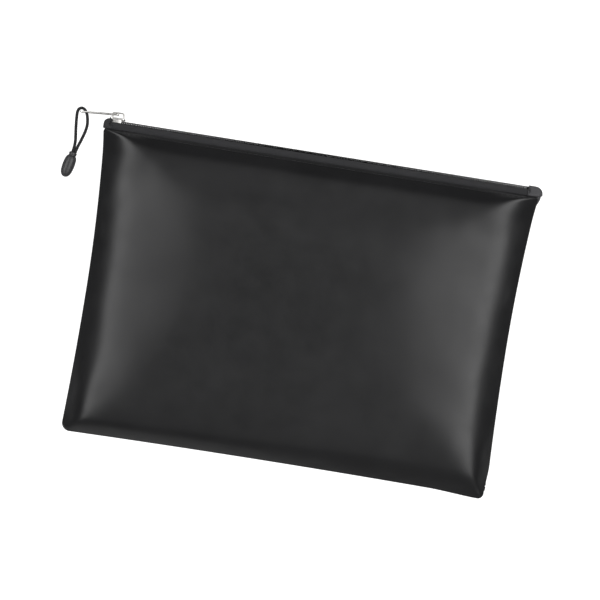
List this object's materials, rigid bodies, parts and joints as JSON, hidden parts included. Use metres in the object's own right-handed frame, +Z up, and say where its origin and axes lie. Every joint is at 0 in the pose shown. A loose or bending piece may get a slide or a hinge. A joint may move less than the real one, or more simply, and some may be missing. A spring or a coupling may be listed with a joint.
{
  "type": "cash deposit bag",
  "caption": "Flat puffed leatherette zip pouch with a coil zip along one long edge, a metal slider and tab, and a corded grip.",
  "frame": {"origin": "on the flat underside of the back cover, below the middle of the pouch", "axes": "+X along the zip to the right, +Y out of the zip edge, +Z up out of the front cover"},
  "size_m": [0.3699, 0.2487, 0.03],
  "materials": {
    "leatherette": "satin, fine pebble grain",
    "lining": "matte plain weave",
    "zip_tape": "matte herringbone weave",
    "end_fabric": "matte, folded tape",
    "zip_coil": "satin nylon",
    "thread": "satin polyester thread",
    "nickel": "polished nickel plate",
    "cord": "braided nylon",
    "soft_grip": "satin moulded soft plastic"
  },
  "bodies": {
    "back_half": {"back_panel": "leatherette", "back_lining": "lining", "back_zip_tape": "zip_tape", "back_coil": "zip_coil", "back_coil_core": "thread", "back_topstitch": "thread", "front_tape_ends": "zip_tape", "front_coil_ends": "zip_coil", "left_end_tab": "zip_tape", "right_end_tab": "end_fabric", "end_bar_tacks": "thread", "top_stops": "nickel", "bottom_stop": "nickel", "seam_stitches": "thread"},
    "front_half": {"front_panel": "leatherette", "front_lining": "lining", "front_zip_tape": "zip_tape", "front_coil": "zip_coil", "front_coil_core": "thread", "front_topstitch": "thread"},
    "slider": {"slider_body": "nickel", "slider_crown": "nickel"},
    "tab": {"pull_tab": "nickel"},
    "pull": {"pull_cord": "cord", "cord_grip": "soft_grip"}
  },
  "joints": [
    {"name": "mouth_open", "type": "hinge", "parent": "back_half", "child": "front_half", "pos_m": [0, -0.1222, 0.01], "axis": [1, 0, 0], "range_deg": [0, 11.5]},
    {"name": "zip_slide", "type": "slide", "parent": "back_half", "child": "slider", "axis": [1, 0, 0], "range_m": [0, 0.318], "deforming": ["pull_cord", "cord_grip"]},
    {"name": "tab_flip", "type": "hinge", "parent": "slider", "child": "tab", "pos_m": [-0.1605, 0.12505, 0.01], "axis": [0, 0, -1], "range_deg": [0, 180]},
    {"name": "cord_trail", "type": "hinge", "parent": "tab", "child": "pull", "pos_m": [-0.18942, 0.12288, 0.01], "axis": [0, 0, -1], "range_deg": [0, 150]}
  ],
  "couplings": [
    {"joint": "cord_trail", "follows": "zip_slide", "rad_per_m": 8.2}
  ]
}
